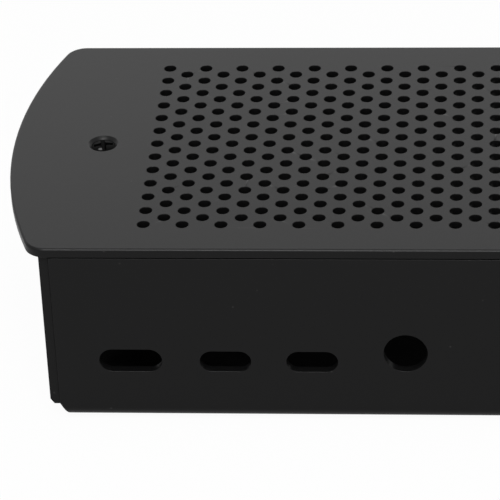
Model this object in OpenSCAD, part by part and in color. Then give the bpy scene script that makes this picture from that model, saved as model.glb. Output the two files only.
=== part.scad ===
// Folded sheet-metal case for a credit-card sized single board computer.
// The long wall with the port slots faces -Y and +Z is up.
// The origin is on the surface that the feet stand on, under the middle of the case.

/* [Sheet] */
// Thickness of the folded body sheet
sheet_t = 1.5; // [1.0:0.1:2.0]
// Inside radius of every fold
bend_r = 0.5; // [0.3:0.1:1.0]

/* [Board] */
// Length of the circuit board that the case holds
board_l = 85; // [84:0.5:90]
// Width of the board
board_w = 56; // [56:0.5:60]
// Thickness of the board
board_t = 1.4; // [1.0:0.1:1.8]
// Room between the left end wall and the board
board_end_gap = 0.6; // [0.4:0.1:1.5]
// Room between the board and the right end wall, for the sockets that stand out past it
board_far_gap = 3.0; // [2.8:0.1:5]
// Room between the front wall and the board
board_front_gap = 1.5; // [0.8:0.1:2]
// Room between the board and the back wall
board_back_gap = 1.5; // [0.8:0.1:5]
// Room above the board, up to the tops of the tabs that carry the lid
board_head_room = 20.8; // [19:0.2:35]
// Distance of the mounting holes from the board's left and front edges
hole_inset = 3.5; // [3.2:0.1:4]
// Mounting hole distance along the board
hole_pitch_x = 58; // [57:0.5:59]
// Mounting hole distance across the board
hole_pitch_y = 49; // [47:0.5:49.5]

/* [Wall edges] */
// Distance of the end walls' upright edges behind the faces of the long walls
end_setback = 1.0; // [0.6:0.1:1.4]
// Slit between a long wall's upright edge and the end wall beside it
corner_slit = 0.15; // [0.05:0.05:0.3]
// Length of the corner relief along the long walls
relief_l = 3.1; // [3.0:0.1:5]
// Depth of the corner relief along the end walls
relief_d = 4.2; // [3.0:0.1:6]
// Height of the slanted cut at the foot of each long wall's upright edge
long_cut_h = 2.7; // [2.1:0.1:4]
// Depth of the bevel that takes the outer corner off the foot of each end wall's upright edge
end_bevel_d = 0.6; // [0.3:0.1:1]
// Height of that bevel
end_bevel_h = 0.9; // [0.4:0.1:2]
// Slit between the walls' upper edges and the lid, which rests on the tabs
lid_slit = 0.3; // [0.1:0.05:0.4]

/* [Lid] */
// Thickness of the lid plate
lid_t = 1.5; // [1.3:0.1:2.5]
// Overhang of the lid beyond each long wall
lid_overhang = 0.2; // [0.1:0.1:1]
// Overhang of the lid's bowed ends beyond the end walls, at their crowns
lid_end_overhang = 7.3; // [6:0.1:12]
// Radius of the bowed ends
lid_end_r = 82; // [70:1:100]
// Radius of the four corners
lid_corner_r = 3.5; // [2.6:0.1:6]
// Rounding of the upper edge
lid_edge_r = 0.4; // [0.1:0.05:0.6]

/* [Vents] */
// Diameter of a vent hole
vent_d = 2.0; // [1.6:0.1:2.4]
// Step from a column of holes to the next, staggered one
vent_step_x = 3.0; // [2.8:0.1:4]
// Step from a row of holes to the next, staggered one
vent_step_y = 2.0; // [1.9:0.1:3]
// Least distance from the outermost hole centres to the lid screws' axes
vent_screw_gap = 8; // [7:0.5:12]
// Least distance from the outermost hole centres to the lid's long edges
vent_edge_gap = 6; // [4:0.5:10]

/* [Lid screws] */
// Distance of the lid screws' axes inside the end walls' outer faces
screw_inset = 7.1; // [6.5:0.1:9]
// Thread diameter of the screws
screw_d = 2.5; // [2:0.1:2.6]
// Length of a screw with its head
screw_l = 5; // [4.8:0.1:6]
// Diameter of the countersunk head
screw_head_d = 4.0; // [3.9:0.1:5]
// Diameter of the countersink at the lid's upper face
sink_d = 4.8; // [4.6:0.1:5.4]
// Diameter of the plain hole below the countersink
screw_hole_d = 2.8; // [2.7:0.1:3.4]
// Depth of the cross recess
cross_depth = 0.8; // [0.4:0.1:0.9]
// Width across the arms of the cross recess
cross_w = 2.9; // [1.8:0.1:3]
// Thickness of an arm of the cross recess
cross_t = 0.9; // [0.4:0.1:1]

/* [Tabs and clinch nuts] */
// Width of the tab that each end wall folds in under the lid
tab_w = 20; // [14:1:30]
// Reach of the tab past the lid screw's axis
tab_reach = 5.4; // [4:0.2:8]
// Corner radius at the tab's free end
tab_corner_r = 3; // [1:0.5:5]
// Width of the slits beside the tab's fold
tab_slit_w = 1.0; // [0.6:0.1:2]
// Depth of those slits below the start of the fold
tab_slit_extra = 0.5; // [0.2:0.1:1]
// Diameter of a nut below the tab
nut_d = 5.6; // [5.2:0.1:7]
// Height of a nut below the tab
nut_h = 1.8; // [1.4:0.1:2]
// Diameter of the nut's collar, which is pressed into the tab
nut_collar_d = 4.2; // [3.8:0.1:5]
// Distance of the collar's end below the tab's upper face
nut_collar_gap = 0.2; // [0.1:0.05:0.6]
// Radial gap between a screw's thread and the nut around it
thread_gap = 0.02; // [0.01:0.01:0.05]

/* [Standoffs] */
// Height of the standoffs above the floor
standoff_h = 6.5; // [5.5:0.1:8]
// Diameter of a standoff
standoff_d = 4.2; // [4:0.1:4.7]
// Width across the flats of its pressed-in head
standoff_head_w = 4.8; // [4.8:0.1:6]
// Thickness of that head
standoff_head_t = 0.8; // [0.5:0.1:0.9]
// Bore of the M2.5 thread in a standoff
standoff_bore_d = 2.1; // [1.9:0.05:2.2]

/* [Front ports] */
// Distance of the power slot from the board's left edge
power_x = 11.2; // [10:0.1:12]
// Width of the power slot
power_w = 9.8; // [9:0.1:12]
// Height of the power slot
power_h = 4.1; // [3.6:0.1:5]
// Height of the power slot's middle above the board
power_rise = 1.6; // [1.2:0.1:2]
// Distance of the first video slot from the board's left edge
video_x = 26.0; // [25:0.1:27]
// Distance between the two video slots
video_pitch = 13.5; // [13:0.1:14]
// Width of a video slot
video_w = 8.0; // [7:0.1:10]
// Height of a video slot
video_h = 3.75; // [3.4:0.05:4.5]
// Height of the video slots' middle above the board
video_rise = 1.5; // [1.2:0.1:2]
// Distance of the headphone hole from the board's left edge
audio_x = 54.0; // [53:0.1:55]
// Diameter of the headphone hole
audio_d = 6.8; // [6.2:0.1:8]
// Height of the headphone hole's middle above the board
audio_rise = 3.2; // [2.8:0.1:4]

/* [End openings] */
// Distance of the first stacked socket's window from the board's front edge
stack_y = 9; // [8.8:0.1:10]
// Distance between the windows of the two stacked sockets
stack_pitch = 18; // [17.6:0.1:18.2]
// Width of the stacked sockets' windows
stack_w = 15.4; // [14:0.1:15.6]
// Height of the stacked sockets' windows
stack_h = 17; // [16.6:0.1:17.4]
// Distance of the network socket's window from the board's front edge
network_y = 45.75; // [45.5:0.05:46]
// Width of the network socket's window
network_w = 17; // [16.4:0.1:17.4]
// Height of the network socket's window
network_h = 14.6; // [14:0.1:17]
// Distance of the windows' lower edges below the board's upper face
window_drop = 0.5; // [0:0.1:1]
// Corner radius of the windows
window_r = 0.8; // [0.4:0.1:2]
// Width of the memory card slot in the left end wall
card_w = 16; // [13:0.5:20]
// Height of the memory card slot
card_h = 5; // [4.4:0.1:5.4]
// Distance of the card slot's middle below the board's upper face
card_drop = 2.6; // [2.2:0.1:3]

/* [Feet] */
// Diameter of a foot
foot_d = 8; // [6:0.5:9]
// Height of a foot
foot_h = 1.2; // [1:0.1:3]
// Rounding of a foot's lower edge
foot_edge_r = 0.4; // [0.2:0.1:0.8]
// Distance of the feet's axes from the ends of the body
foot_inset_x = 10; // [9:0.5:12]
// Distance of the feet's axes from the front and back of the body
foot_inset_y = 13; // [12.5:0.5:16]

/* [Hidden] */

// Small overshoot that carries a cut clear through its wall
cut = 1;
// Segments of a large arc, of a small round and of a vent hole
arc_fn = 128;
round_fn = 48;
vent_fn = 16;

// Outside radius of a fold
fold_r = bend_r + sheet_t;

// Outer length, depth and height of the body
body_l = sheet_t + board_end_gap + board_l + board_far_gap + sheet_t;
body_d = sheet_t + board_front_gap + board_w + board_back_gap + sheet_t;
body_h = sheet_t + standoff_h + board_t + board_head_room;

// Lengths of the long walls and of the end walls
long_wall_l = body_l - 2 * (sheet_t + corner_slit);
end_wall_l = body_d - 2 * end_setback;

// Level of the floor's underside, of the board's upper face, of the tabs' and of the lid's
floor_z = foot_h;
board_top_z = floor_z + sheet_t + standoff_h + board_t;
tab_top_z = floor_z + body_h;
lid_top_z = tab_top_z + lid_t;

// The board's left edge and front edge, and the middle of its mounting holes
board_x = -body_l / 2 + sheet_t + board_end_gap;
board_y = -body_d / 2 + sheet_t + board_front_gap;
holes_mid_x = board_x + hole_inset + hole_pitch_x / 2;
holes_mid_y = board_y + hole_inset + hole_pitch_y / 2;

// The lid's outer sizes and the distance of a bowed end's centre past the middle of the case
lid_l = body_l + 2 * lid_end_overhang;
lid_d = body_d + 2 * lid_overhang;
bow_x = lid_end_r - lid_l / 2;

// Centre of a lid corner, where its round runs smoothly into the bowed end and the long edge,
// and the direction in which the bowed end's centre sees it
corner_y = lid_d / 2 - lid_corner_r;
corner_x = sqrt(pow(lid_end_r - lid_corner_r, 2) - pow(corner_y, 2)) - bow_x;
corner_angle = atan2(corner_y, corner_x + bow_x);

// Place of the lid screws and depth of their heads, whose cones lie in the countersinks
screw_x = body_l / 2 - screw_inset;
head_sink = (sink_d - screw_head_d) / 2;

// Vent steps on each side of the middle; both counts are even, so corner holes exist
vent_nx = 2 * floor((screw_x - vent_screw_gap) / (2 * vent_step_x));
vent_ny = 2 * floor((lid_d / 2 - vent_edge_gap) / (2 * vent_step_y));

// Window with rounded corners, about its middle
module rounded_window(w, h, r) {
    square([w, h - 2 * r], center = true);
    square([w - 2 * r, h], center = true);
    for (x = [-1, 1], y = [-1, 1])
        translate([x * (w / 2 - r), y * (h / 2 - r)]) circle(r, $fn = round_fn);
}

// Slot with fully round ends, about its middle
module round_slot(w, h) {
    square([w - h, h], center = true);
    for (x = [-1, 1]) translate([x * (w - h) / 2, 0]) circle(d = h, $fn = round_fn);
}

// Quarter ring of a fold: it leaves the Y axis at the origin and ends upright at X = fold_r
module fold_section() {
    translate([0, fold_r]) intersection() {
        difference() {
            circle(fold_r, $fn = round_fn);
            circle(bend_r, $fn = round_fn);
        }
        translate([0, -fold_r]) square(fold_r);
    }
}

// Drawing stood upright in the XZ plane, thick towards -Y
module facing_front(t) {
    rotate([90, 0, 0]) linear_extrude(t) children();
}

// Drawing stood upright in the YZ plane, thick towards +X
module facing_end(t) {
    rotate([90, 0, 90]) linear_extrude(t) children();
}

// Repeats a shape on the other side of the YZ plane
module both_ends() {
    children();
    mirror([1, 0, 0]) children();
}

// Floor between the folds, with a square relief in each corner
module floor_plate() {
    linear_extrude(sheet_t) difference() {
        square([body_l - 2 * fold_r, body_d - 2 * fold_r], center = true);
        for (x = [-1, 1], y = [-1, 1])
            translate([x * body_l / 2, y * body_d / 2])
                square([2 * relief_l, 2 * relief_d], center = true);
    }
}

// Long wall along the back, with its fold; the feet of its upright edges are cut on a slant
module long_wall() {
    translate([0, body_d / 2, 0]) difference() {
        union() {
            translate([-long_wall_l / 2, -fold_r, 0]) facing_end(long_wall_l) fold_section();
            translate([-long_wall_l / 2, -sheet_t, fold_r])
                cube([long_wall_l, sheet_t, body_h - lid_slit - fold_r]);
        }
        both_ends()
            translate([body_l / 2, cut, 0]) facing_front(fold_r + 2 * cut) polygon([
                [0, -cut], [-relief_l, -cut], [-relief_l, 0],
                [-sheet_t - corner_slit, long_cut_h], [0, long_cut_h]
            ]);
    }
}

// Upright sheet of an end wall, with slits and a gap at the top for the tab
module end_sheet() {
    tab_fold_h = body_h - fold_r;
    difference() {
        translate([-end_wall_l / 2, fold_r]) square([end_wall_l, body_h - lid_slit - fold_r]);
        translate([-tab_w / 2, tab_fold_h]) square([tab_w, fold_r + cut]);
        for (y = [-tab_w / 2 - tab_slit_w, tab_w / 2])
            translate([y, tab_fold_h - tab_slit_extra])
                square([tab_slit_w, fold_r + tab_slit_extra + cut]);
    }
}

// Tab folded in from the top of the right end wall, with the hole for its clinch nut
module end_tab() {
    free_x = screw_x - tab_reach;
    straight_l = body_l / 2 - fold_r - free_x;
    translate([body_l / 2 - fold_r, tab_w / 2, body_h])
        facing_front(tab_w) mirror([0, 1]) fold_section();
    translate([0, 0, body_h - sheet_t]) linear_extrude(sheet_t) difference() {
        union() {
            translate([free_x + tab_corner_r, -tab_w / 2])
                square([straight_l - tab_corner_r, tab_w]);
            translate([free_x, -tab_w / 2 + tab_corner_r])
                square([tab_corner_r, tab_w - 2 * tab_corner_r]);
            for (y = [-1, 1])
                translate([free_x + tab_corner_r, y * (tab_w / 2 - tab_corner_r)])
                    circle(tab_corner_r, $fn = round_fn);
        }
        translate([screw_x, 0]) circle(d = nut_collar_d, $fn = round_fn);
    }
}

// Right end wall with its fold at the floor and its tab; beside the fold its foot is bevelled
module end_wall() {
    fold_l = body_d - 2 * relief_d;
    translate([body_l / 2 - fold_r, fold_l / 2, 0]) facing_front(fold_l) fold_section();
    difference() {
        translate([body_l / 2 - sheet_t, 0, 0]) facing_end(sheet_t) end_sheet();
        for (y = [-fold_l / 2, body_d / 2])
            translate([body_l / 2, y, fold_r]) facing_front(relief_d)
                polygon([
                    [-end_bevel_d, 0], [0, end_bevel_h], [cut, end_bevel_h],
                    [cut, -cut], [-end_bevel_d, -cut]
                ]);
    }
    end_tab();
}

// Places a cut through the front wall, x to the right of the board's edge and z above its face
module front_port(x, rise) {
    translate([board_x + x, -body_d / 2 + sheet_t + cut, board_top_z + rise])
        facing_front(sheet_t + 2 * cut) children();
}

// Window through the right end wall whose lower edge lies just below the board's upper face
module socket_window(y, w, h) {
    translate([body_l / 2 - sheet_t - cut, board_y + y, board_top_z - window_drop + h / 2])
        facing_end(sheet_t + 2 * cut) rounded_window(w, h, window_r);
}

// Slot through the left end wall, on the board's middle line
module card_slot() {
    translate([-body_l / 2 - cut, board_y + board_w / 2, board_top_z - card_drop])
        facing_end(sheet_t + 2 * cut) round_slot(card_w, card_h);
}

// Places a standoff, or the hole for it, at one of the board's mounting holes
module at_hole(x, y) {
    translate([
        holes_mid_x + x * hole_pitch_x / 2,
        holes_mid_y + y * hole_pitch_y / 2,
        floor_z
    ]) children();
}

// Outer form of a standoff: a barrel over a hexagonal head that lies flush in the floor
module standoff_form() {
    cylinder(d = standoff_d, h = sheet_t + standoff_h, $fn = round_fn);
    cylinder(d = standoff_head_w / cos(30), h = standoff_head_t, $fn = 6);
}

module chassis() {
    color([0.13, 0.13, 0.13]) difference() {
        translate([0, 0, floor_z]) {
            floor_plate();
            long_wall();
            mirror([0, 1, 0]) long_wall();
            both_ends() end_wall();
        }
        front_port(power_x, power_rise) round_slot(power_w, power_h);
        for (i = [0, 1])
            front_port(video_x + i * video_pitch, video_rise) round_slot(video_w, video_h);
        front_port(audio_x, audio_rise) circle(d = audio_d, $fn = round_fn);
        for (i = [0, 1]) socket_window(stack_y + i * stack_pitch, stack_w, stack_h);
        socket_window(network_y, network_w, network_h);
        card_slot();
        for (x = [-1, 1], y = [-1, 1]) at_hole(x, y) standoff_form();
    }
}

// Section of the lid's rim out to a distance r, with its upper edge rounded
module rim_section(r) {
    square([r - lid_edge_r, lid_t]);
    square([r, lid_t - lid_edge_r]);
    translate([r - lid_edge_r, lid_t - lid_edge_r]) circle(lid_edge_r, $fn = round_fn);
}

// Round plate with the lid's rim
module rim_disc(r) {
    rotate_extrude($fn = arc_fn) intersection() {
        rim_section(r);
        square([r, lid_t]);
    }
}

// Lid outline: straight long edges, bowed ends and corners that run smoothly into both
module lid_plate() {
    difference() {
        intersection() {
            translate([-lid_l / 2, 0, 0]) facing_end(lid_l) for (m = [0, 1])
                mirror([m, 0]) rim_section(lid_d / 2);
            intersection_for (x = [-1, 1]) translate([x * bow_x, 0, 0]) rim_disc(lid_end_r);
        }
        // Each corner gives way to a round: the cut runs from its centre out past both edges
        for (x = [-1, 1], y = [-1, 1])
            translate([x * corner_x, y * corner_y, -cut]) linear_extrude(lid_t + 2 * cut)
                polygon([
                    [0, 0],
                    [0, 2 * y * lid_corner_r],
                    [2 * x * lid_corner_r, 2 * y * lid_corner_r],
                    [2 * x * lid_corner_r * cos(corner_angle), 2 * y * lid_corner_r * sin(corner_angle)]
                ]);
    }
    for (x = [-1, 1], y = [-1, 1])
        translate([x * corner_x, y * corner_y, 0]) rim_disc(lid_corner_r);
}

// Countersunk hole from the lid's upper face, whose cone opens at 90 degrees
module countersink() {
    cone_h = (sink_d - screw_hole_d) / 2;
    translate([0, 0, -cut]) cylinder(d = screw_hole_d, h = lid_t + 2 * cut, $fn = round_fn);
    translate([0, 0, lid_t - cone_h])
        cylinder(d1 = screw_hole_d, d2 = sink_d + 2 * cut, h = cone_h + cut, $fn = round_fn);
}

module lid() {
    color([0.16, 0.16, 0.16]) translate([0, 0, tab_top_z]) difference() {
        lid_plate();
        for (x = [-1, 1]) translate([x * screw_x, 0, 0]) countersink();
        // Staggered vents: a hole wherever the two step counts are both even or both odd
        for (i = [-vent_nx:vent_nx], j = [-vent_ny:vent_ny])
            if ((i + j) % 2 == 0)
                translate([i * vent_step_x, j * vent_step_y, -cut])
                    cylinder(d = vent_d, h = lid_t + 2 * cut, $fn = vent_fn);
    }
}

// Cross recess cut down from z = 0, narrowing towards its floor
module cross_recess() {
    intersection() {
        union() {
            cube([cross_w, cross_t, 2 * cross_depth], center = true);
            cube([cross_t, cross_w, 2 * cross_depth], center = true);
        }
        translate([0, 0, -cross_depth])
            cylinder(d1 = cross_t, d2 = 2 * cross_w - cross_t, h = 2 * cross_depth, $fn = round_fn);
    }
}

// Countersunk screw whose cone rests in the lid's countersink
module lid_screw(x) {
    cone_h = (screw_head_d - screw_d) / 2;
    color([0.07, 0.07, 0.07]) translate([x * screw_x, 0, lid_top_z - head_sink]) difference() {
        union() {
            translate([0, 0, -cone_h])
                cylinder(d1 = screw_d, d2 = screw_head_d, h = cone_h, $fn = round_fn);
            translate([0, 0, -screw_l]) cylinder(d = screw_d, h = screw_l - cone_h, $fn = round_fn);
        }
        cross_recess();
    }
}

// Nut under a tab, with a collar pressed into the tab's hole
module clinch_nut(x) {
    collar_h = sheet_t - nut_collar_gap;
    color([0.68, 0.68, 0.66]) translate([x * screw_x, 0, tab_top_z - sheet_t]) difference() {
        union() {
            translate([0, 0, -nut_h]) cylinder(d = nut_d, h = nut_h, $fn = round_fn);
            cylinder(d = nut_collar_d, h = collar_h, $fn = round_fn);
        }
        translate([0, 0, -nut_h - cut])
            cylinder(d = screw_d + 2 * thread_gap, h = nut_h + sheet_t + 2 * cut, $fn = round_fn);
    }
}

// Threaded standoff pressed into the floor
module standoff(x, y) {
    color([0.72, 0.72, 0.70]) at_hole(x, y) difference() {
        standoff_form();
        translate([0, 0, -cut])
            cylinder(d = standoff_bore_d, h = sheet_t + standoff_h + 2 * cut, $fn = round_fn);
    }
}

// Round rubber foot glued under the floor, with a rounded lower edge
module foot(x, y) {
    foot_x = body_l / 2 - foot_inset_x;
    foot_y = body_d / 2 - foot_inset_y;
    color([0.09, 0.09, 0.09]) translate([x * foot_x, y * foot_y, 0]) rotate_extrude($fn = round_fn) {
        square([foot_d / 2 - foot_edge_r, foot_h]);
        translate([0, foot_edge_r]) square([foot_d / 2, foot_h - foot_edge_r]);
        translate([foot_d / 2 - foot_edge_r, foot_edge_r]) circle(foot_edge_r, $fn = round_fn);
    }
}

chassis();
lid();
lid_screw(-1);  // lid_screw_left
lid_screw(1);  // lid_screw_right
clinch_nut(-1);  // clinch_nut_left
clinch_nut(1);  // clinch_nut_right
standoff(-1, -1);  // standoff_front_left
standoff(1, -1);  // standoff_front_right
standoff(-1, 1);  // standoff_back_left
standoff(1, 1);  // standoff_back_right
foot(-1, -1);  // foot_front_left
foot(1, -1);  // foot_front_right
foot(-1, 1);  // foot_back_left
foot(1, 1);  // foot_back_right
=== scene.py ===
from math import cos, pi, radians, sin

import bmesh
import bpy
from mathutils import Matrix, Vector


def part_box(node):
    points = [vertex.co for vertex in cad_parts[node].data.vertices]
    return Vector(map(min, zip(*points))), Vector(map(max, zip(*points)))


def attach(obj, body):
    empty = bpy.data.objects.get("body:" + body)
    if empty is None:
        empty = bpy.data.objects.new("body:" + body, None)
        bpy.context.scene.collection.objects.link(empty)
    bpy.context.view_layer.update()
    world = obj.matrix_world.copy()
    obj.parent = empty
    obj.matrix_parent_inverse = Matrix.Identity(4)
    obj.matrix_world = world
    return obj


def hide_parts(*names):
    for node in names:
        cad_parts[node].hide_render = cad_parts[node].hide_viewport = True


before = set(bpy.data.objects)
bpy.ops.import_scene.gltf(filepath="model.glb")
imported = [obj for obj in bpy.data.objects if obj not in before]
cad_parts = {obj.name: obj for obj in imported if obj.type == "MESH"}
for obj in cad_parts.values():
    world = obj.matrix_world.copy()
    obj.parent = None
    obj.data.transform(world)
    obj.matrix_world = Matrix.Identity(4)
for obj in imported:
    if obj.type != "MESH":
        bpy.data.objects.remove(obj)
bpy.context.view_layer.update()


# Camera
# It stands about half a metre off, in front of the wall with the port slots and 33 degrees
# above it, so the bowed left end and two thirds of the vents fill the frame.
camera_place = Vector((0.02691, -0.45812, 0.31049))
camera_turn = radians(5.344)
camera_dip = radians(32.916)
camera_lean = radians(2.742)
lens_mm = 242.3
sensor_mm = 36.0
nearest_seen = 0.01

lens = bpy.data.cameras.new("camera")
lens.lens = lens_mm
lens.sensor_width = sensor_mm
lens.clip_start = nearest_seen
camera = bpy.data.objects.new("camera", lens)
camera.matrix_world = (
    Matrix.Translation(camera_place)
    @ Matrix.Rotation(camera_turn, 4, "Z")
    @ Matrix.Rotation(-camera_dip, 4, "X")
    @ Matrix.Rotation(camera_lean, 4, "Y")
    @ Matrix.Rotation(radians(90), 4, "X")
)
bpy.context.scene.collection.objects.link(camera)
bpy.context.scene.camera = camera
bpy.context.scene.view_settings.view_transform = "Standard"


# Studio
# The case stands on a plain white table in a white room. The camera sees both as plain
# white, and a little of the case's own shadow stays on the table.
class Level:
    """Number that varies over a surface: an output of a shader node, ready for sums."""

    def __init__(self, finish, output):
        self.finish = finish
        self.output = output

    def combined(self, operation, first, second):
        return self.finish.node(
            "ShaderNodeMath", {"operation": operation}, {0: first, 1: second})

    def __add__(self, other):
        return self.combined("ADD", self, other)

    def __sub__(self, other):
        return self.combined("SUBTRACT", self, other)

    def __rsub__(self, other):
        return self.combined("SUBTRACT", other, self)

    def __mul__(self, other):
        return self.combined("MULTIPLY", self, other)

    def __gt__(self, other):
        return self.combined("GREATER_THAN", self, other)

    def __lt__(self, other):
        return self.combined("LESS_THAN", self, other)

    __radd__ = __add__
    __rmul__ = __mul__


class Finish:
    """Material, or the light of a room, that is built up node by node."""

    def __init__(self, name, is_room=False):
        self.made = (bpy.data.worlds if is_room else bpy.data.materials).new(name)
        self.end = "ShaderNodeOutputWorld" if is_room else "ShaderNodeOutputMaterial"
        self.made.use_nodes = True
        self.tree = self.made.node_tree
        self.tree.nodes.clear()

    def node(self, kind, settings=None, inputs=None, output=0):
        """Adds a node, sets it up, fills or links its inputs and gives one of its outputs."""
        added = self.tree.nodes.new(kind)
        for name, value in (settings or {}).items():
            setattr(added, name, value)
        for name, value in (inputs or {}).items():
            if isinstance(value, Level):
                self.tree.links.new(value.output, added.inputs[name])
            else:
                added.inputs[name].default_value = value
        return Level(self, added.outputs[output]) if added.outputs else None

    def mixed(self, share, first, second):
        """Colour that goes from the first to the second as share goes from 0 to 1."""
        return self.node(
            "ShaderNodeMix", {"data_type": "RGBA"}, {0: share, 6: first, 7: second}, 2)

    def surface(self, shader):
        """Ends the material, or the room, with a shader."""
        self.node(self.end, {}, {"Surface": shader})


table_size = 4.0
table_drop = 0.00002
table_colour = (0.7, 0.7, 0.7, 1)
plain_white = (1, 1, 1, 1)
white_seen = 0.96
white_mirrored = 0.18

# For the camera, and a little in reflections, plain white takes the place of the matt table
table_white = Finish("table_white")
seen = table_white.node("ShaderNodeLightPath", output="Is Camera Ray")
mirrored = table_white.node("ShaderNodeLightPath", output="Is Glossy Ray")
table_white.surface(table_white.node("ShaderNodeMixShader", {}, {
    0: seen * white_seen + mirrored * white_mirrored,
    1: table_white.node("ShaderNodeBsdfDiffuse", {}, {"Color": table_colour}),
    2: table_white.node("ShaderNodeEmission", {}, {"Color": plain_white, "Strength": 1.0}),
}))

bpy.ops.mesh.primitive_plane_add(size=table_size, location=(0, 0, -table_drop))
table = bpy.context.object
table.name = "table"
table.data.materials.append(table_white.made)

room_light = (0.14, 0.14, 0.14, 1)

room = Finish("room", is_room=True)
seen = room.node("ShaderNodeLightPath", output="Is Camera Ray")
mirrored = room.node("ShaderNodeLightPath", output="Is Glossy Ray")
room.surface(room.node("ShaderNodeBackground", {}, {
    "Color": room.mixed(seen + mirrored, room_light, plain_white), "Strength": 1.0}))
bpy.context.scene.world = room.made

case_middle = Vector((0, 0, 0.02))


def softbox(name, place, width, height, watts):
    """Area lamp that faces the middle of the case."""
    lamp = bpy.data.lights.new(name, "AREA")
    lamp.shape = "RECTANGLE"
    lamp.size = width
    lamp.size_y = height
    lamp.energy = watts
    box = bpy.data.objects.new(name, lamp)
    facing = (case_middle - Vector(place)).to_track_quat("-Z", "Y")
    box.matrix_world = Matrix.Translation(place) @ facing.to_matrix().to_4x4()
    box.visible_camera = False
    bpy.context.scene.collection.objects.link(box)


softbox("softbox_back", place=(0.0, 0.9, 0.42), width=1.2, height=0.5, watts=1.6)
softbox("softbox_front", place=(0.0, -0.62, 0.8), width=0.6, height=0.2, watts=9.2)
softbox("softbox_top", place=(0.0, 0.0, 1.0), width=0.6, height=0.4, watts=2.2)


# Chassis
# One steel sheet, 1.5 mm thick, is punched, folded into floor and walls, and powder-coated
# matt black. The coat melts in the oven, so it rounds every punched edge a little.
coat_round = 0.00007
sharp_turn = radians(32)
flat_turn = radians(0.5)
same_point = 0.000001


def eased(piece_name, node, finish, rounding):
    """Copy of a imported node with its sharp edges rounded, which stands for that node."""
    shape = bmesh.new()
    shape.from_mesh(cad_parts[node].data)
    bmesh.ops.remove_doubles(shape, verts=shape.verts, dist=same_point)
    bmesh.ops.dissolve_limit(
        shape, angle_limit=flat_turn, verts=shape.verts, edges=shape.edges)
    sharp = [e for e in shape.edges if e.is_manifold and e.calc_face_angle() > sharp_turn]
    bmesh.ops.bevel(
        shape, geom=sharp, offset=rounding, segments=2, profile=0.5, affect="EDGES",
        clamp_overlap=False)
    for face in shape.faces:
        face.smooth = True
    mesh = bpy.data.meshes.new(piece_name)
    shape.to_mesh(mesh)
    shape.free()
    mesh.materials.append(finish.made)
    piece = bpy.data.objects.new(piece_name, mesh)
    bpy.context.scene.collection.objects.link(piece)
    flat = piece.modifiers.new("flat_faces", "WEIGHTED_NORMAL")
    flat.weight = 100
    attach(piece, "root")
    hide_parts(node)


coat_colour = (0.0036, 0.0036, 0.0037, 1)
coat_roughness = 0.30
coat_reflection = 0.155
coat_bump = 0.25
coat_bump_depth = 0.00002
grain_per_metre = 3500
grain_roughness = 0.08
grain_share = 0.4
ripple_per_metre = 600
ripple_share = 0.6
dust_colour = (0.09, 0.088, 0.085, 1)
dust_roughness = 0.4
dust_cells_per_metre = 340
dust_size = 0.055
clean_cells = 0.5
faint_cells = 0.97
faint_dust = 0.17

powder_coat = Finish("black_powder_coat")
point = powder_coat.node("ShaderNodeTexCoord", output="Object")
grain = powder_coat.node(
    "ShaderNodeTexNoise", {}, {"Vector": point, "Scale": grain_per_metre, "Detail": 2.0})
ripple = powder_coat.node(
    "ShaderNodeTexNoise", {}, {"Vector": point, "Scale": ripple_per_metre, "Detail": 1.0})

# Every other cell holds a speck of dust, a third of a millimetre across at most. Most specks
# are faint, and one in thirty is bright.
cell = {"Vector": point, "Scale": dust_cells_per_metre}
speck_distance = powder_coat.node("ShaderNodeTexVoronoi", {}, cell)
cell_colour = {"Color": powder_coat.node("ShaderNodeTexVoronoi", {}, cell, "Color")}
cell_red = powder_coat.node("ShaderNodeSeparateColor", {}, cell_colour, "Red")
cell_green = powder_coat.node("ShaderNodeSeparateColor", {}, cell_colour, "Green")
speck = (speck_distance < dust_size) * (cell_red > clean_cells)
dust = speck * ((cell_green > faint_cells) * (1 - faint_dust) + faint_dust)

powder_coat.surface(powder_coat.node("ShaderNodeBsdfPrincipled", {}, {
    "Base Color": powder_coat.mixed(dust, coat_colour, dust_colour),
    "Roughness": grain * grain_roughness + dust * dust_roughness + coat_roughness,
    "Specular IOR Level": coat_reflection,
    "Normal": powder_coat.node("ShaderNodeBump", {}, {
        "Strength": coat_bump,
        "Distance": coat_bump_depth,
        "Height": grain * grain_share + ripple * ripple_share,
    }),
}))

eased("folded_body", "chassis", powder_coat, coat_round)


# Lid
# A flat plate from the same sheet, with bowed ends and punched vents, in the same coat. It
# rests on the end walls' tabs and is held by two countersunk screws.
eased("lid_plate", "lid", powder_coat, coat_round)


# Lid screws
# Two countersunk steel screws with a cross recess, cold-headed, rolled and plated black. They
# pass through the lid's countersinks into the nuts below.
head_radius = 0.002
head_rise = 0.00034
rim_depths = (0.00005, 0.0003)
shank_radius = 0.00125
cone_depth = head_radius - shank_radius
cone_end = cone_depth - 0.00001
thread_depth = 0.00015
thread_pitch = 0.00045
dome_rings = 6
ring_points = 48
rings_per_turn = 6

black_colour = (0.002, 0.002, 0.002, 1)
black_roughness = 0.3
black_reflection = 0.02
scuffs_per_metre = 2600
scuff_roughness = 0.2
scuff_bump = 0.3
scuff_bump_depth = 0.00001
# Pale patch beside each head's recess: a painted highlight, where the head would catch a
# softbox
painted_glint_colour = (0.1, 0.1, 0.1, 1)
painted_glint_place = (0.0002, -0.00132)
painted_glint_radius = 0.0007
painted_glint_squeeze = 4

black_plating = Finish("black_screw")
point = black_plating.node("ShaderNodeTexCoord", output="Object")
scuffs = black_plating.node(
    "ShaderNodeTexNoise", {}, {"Vector": point, "Scale": scuffs_per_metre, "Detail": 3.0})
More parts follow.
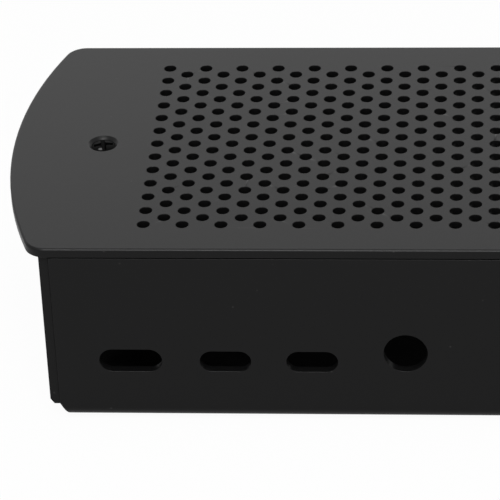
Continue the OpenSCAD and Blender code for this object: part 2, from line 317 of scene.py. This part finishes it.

# A pale patch beside the recess of each head is a painted highlight, the glint of a softbox
across = black_plating.node("ShaderNodeSeparateXYZ", {}, {"Vector": point}, "X")
along = black_plating.node("ShaderNodeSeparateXYZ", {}, {"Vector": point}, "Y")
from_middle = black_plating.node("ShaderNodeMath", {"operation": "ABSOLUTE"}, {0: across})
low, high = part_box("lid_screw_right")
glint_x = from_middle - ((low.x + high.x) / 2 + painted_glint_place[0])
glint_y = along - painted_glint_place[1]
glint_distance_squared = glint_x * glint_x + glint_y * glint_y * painted_glint_squeeze
painted_glint = (glint_distance_squared + scuffs * painted_glint_radius ** 2) < painted_glint_radius ** 2

black_plating.surface(black_plating.node("ShaderNodeBsdfPrincipled", {}, {
    "Base Color": black_plating.mixed(painted_glint, black_colour, painted_glint_colour),
    "Roughness": scuffs * scuff_roughness + black_roughness,
    "Specular IOR Level": black_reflection,
    "Normal": black_plating.node("ShaderNodeBump", {}, {
        "Strength": scuff_bump, "Distance": scuff_bump_depth, "Height": scuffs}),
}))


def screw_point(depth, turn, length):
    """Point of a screw's side, at a depth below its rim and a turn from its X axis."""
    radius = head_radius - depth
    if depth > cone_depth:
        phase = (depth - cone_depth) / thread_pitch - turn / (2 * pi)
        valley = abs(phase % 1 - 0.5) * 2
        runout = min(1, (depth - cone_depth) / thread_pitch, (length - depth) / thread_pitch)
        radius = shank_radius - thread_depth * valley * runout
    return radius * cos(turn), radius * sin(turn), -depth


recess_turn = radians(12)
recess_rise = 0.0006
reach_above = 0.001875
arm_half_above = 0.00042
recess_depth = 0.0013
reach_below = 0.0006
arm_half_below = 0.000175
corner_fill = 1.5


def recess_cutter():
    """Tapered cross that cuts a screw's recess, with the head's rim at z = 0."""
    shape = bmesh.new()
    quarters = [Matrix.Rotation(radians(90) * k + recess_turn, 3, "Z") for k in range(4)]
    ends = []
    for height, reach, half in (
        (recess_rise, reach_above, arm_half_above),
        (-recess_depth, reach_below, arm_half_below),
    ):
        fill = half * corner_fill
        arm = [(fill, half), (half, fill), (half, reach), (-half, reach)]
        ends.append([
            shape.verts.new(q @ Vector((x, y, height))) for q in quarters for x, y in arm])
    top, bottom = ends
    shape.faces.new(top)
    shape.faces.new(bottom)
    for k in range(len(top)):
        shape.faces.new((top[k - 1], top[k], bottom[k], bottom[k - 1]))
    bmesh.ops.recalc_face_normals(shape, faces=shape.faces)
    mesh = bpy.data.meshes.new("recess")
    shape.to_mesh(mesh)
    shape.free()
    cutter = bpy.data.objects.new("recess", mesh)
    bpy.context.scene.collection.objects.link(cutter)
    return cutter


def lid_screw(piece_name, node):
    """Screw with a domed head, a cut recess and a rolled thread, which stands for its node."""
    low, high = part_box(node)
    length = high.z - low.z
    turns = [2 * pi * k / ring_points for k in range(ring_points)]
    outlines = []
    for k in range(1, dome_rings):
        radius = head_radius * k / dome_rings
        rise = head_rise * (1 - (k / dome_rings) ** 2)
        outlines.append([(radius * cos(t), radius * sin(t), rise) for t in turns])
    threaded = length - cone_depth
    thread_rings = int(threaded / thread_pitch * rings_per_turn)
    depths = [*rim_depths, cone_end]
    depths += [cone_depth + threaded * k / thread_rings for k in range(thread_rings + 1)]
    outlines += [[screw_point(depth, t, length) for t in turns] for depth in depths]
    shape = bmesh.new()
    rings = [[shape.verts.new(p) for p in outline] for outline in outlines]
    shape.faces.new(rings[0])
    shape.faces.new(rings[-1])
    for upper, lower in zip(rings, rings[1:]):
        for k in range(ring_points):
            shape.faces.new((upper[k - 1], upper[k], lower[k], lower[k - 1]))
    bmesh.ops.recalc_face_normals(shape, faces=shape.faces)
    mesh = bpy.data.meshes.new(piece_name)
    shape.to_mesh(mesh)
    shape.free()
    mesh.materials.append(black_plating.made)
    piece = bpy.data.objects.new(piece_name, mesh)
    bpy.context.scene.collection.objects.link(piece)

    cutter = recess_cutter()
    cut = piece.modifiers.new("recess", "BOOLEAN")
    cut.operation = "DIFFERENCE"
    cut.object = cutter
    bpy.context.view_layer.update()
    piece.data = bpy.data.meshes.new_from_object(
        piece.evaluated_get(bpy.context.evaluated_depsgraph_get()))
    piece.modifiers.clear()
    bpy.data.objects.remove(cutter)

    seat = Vector(((low.x + high.x) / 2, (low.y + high.y) / 2, high.z))
    piece.data.transform(Matrix.Translation(seat))
    piece.data.shade_smooth()
    piece.data.set_sharp_from_angle(angle=sharp_turn)
    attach(piece, "root")
    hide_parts(node)


for side in ("left", "right"):
    lid_screw("cross_screw_" + side, "lid_screw_" + side)


# Clinch nuts
# Turned from steel, threaded and zinc-plated. One is pressed from below into the tab under
# each lid screw, and its collar grips the sheet.
turned_round = 0.00008
plating_colour = (0.62, 0.62, 0.60, 1)
plating_dull = (0.40, 0.40, 0.39, 1)
plating_roughness = 0.25
bloom_per_metre = 900
bloom_roughness = 0.2
marks_per_metre = 9000
marks_bump = 0.3
marks_bump_depth = 0.00001

zinc = Finish("zinc_hardware")
point = zinc.node("ShaderNodeTexCoord", output="Object")
bloom = zinc.node(
    "ShaderNodeTexNoise", {}, {"Vector": point, "Scale": bloom_per_metre, "Detail": 3.0})
height = zinc.node("ShaderNodeSeparateXYZ", {}, {"Vector": point}, "Z")
turning_marks = zinc.node(
    "ShaderNodeTexNoise", {"noise_dimensions": "1D"}, {"W": height, "Scale": marks_per_metre})
zinc.surface(zinc.node("ShaderNodeBsdfPrincipled", {}, {
    "Base Color": zinc.mixed(bloom, plating_colour, plating_dull),
    "Metallic": 1.0,
    "Roughness": bloom * bloom_roughness + plating_roughness,
    "Normal": zinc.node("ShaderNodeBump", {}, {
        "Strength": marks_bump, "Distance": marks_bump_depth, "Height": turning_marks}),
}))

for side in ("left", "right"):
    eased("pressed_nut_" + side, "clinch_nut_" + side, zinc, turned_round)


# Standoffs
# Four threaded pillars of the same turned and zinc-plated steel. Each is pressed in from
# below, so its hexagonal head lies flush in the floor, and the circuit board rests on it.
corners = ("front_left", "front_right", "back_left", "back_right")

for corner in corners:
    eased("pillar_" + corner, "standoff_" + corner, zinc, turned_round)


# Feet
# Four round pads of moulded black rubber under the floor's corners. Each has glue on its
# upper face, which sticks straight to the coat, and a plain, slightly rounded rim.
moulded_round = 0.0001
rubber_dark = (0.014, 0.014, 0.014, 1)
rubber_pale = (0.024, 0.024, 0.023, 1)
rubber_roughness = 0.65
rubber_reflection = 0.3
skin_per_metre = 2200
skin_roughness = 0.2
skin_bump = 0.5
skin_bump_depth = 0.00003

rubber = Finish("black_rubber")
point = rubber.node("ShaderNodeTexCoord", output="Object")
skin = rubber.node(
    "ShaderNodeTexNoise", {}, {"Vector": point, "Scale": skin_per_metre, "Detail": 4.0})
rubber.surface(rubber.node("ShaderNodeBsdfPrincipled", {}, {
    "Base Color": rubber.mixed(skin, rubber_dark, rubber_pale),
    "Roughness": skin * skin_roughness + rubber_roughness,
    "Specular IOR Level": rubber_reflection,
    "Normal": rubber.node("ShaderNodeBump", {}, {
        "Strength": skin_bump, "Distance": skin_bump_depth, "Height": skin}),
}))

for corner in corners:
    eased("rubber_pad_" + corner, "foot_" + corner, rubber, moulded_round)
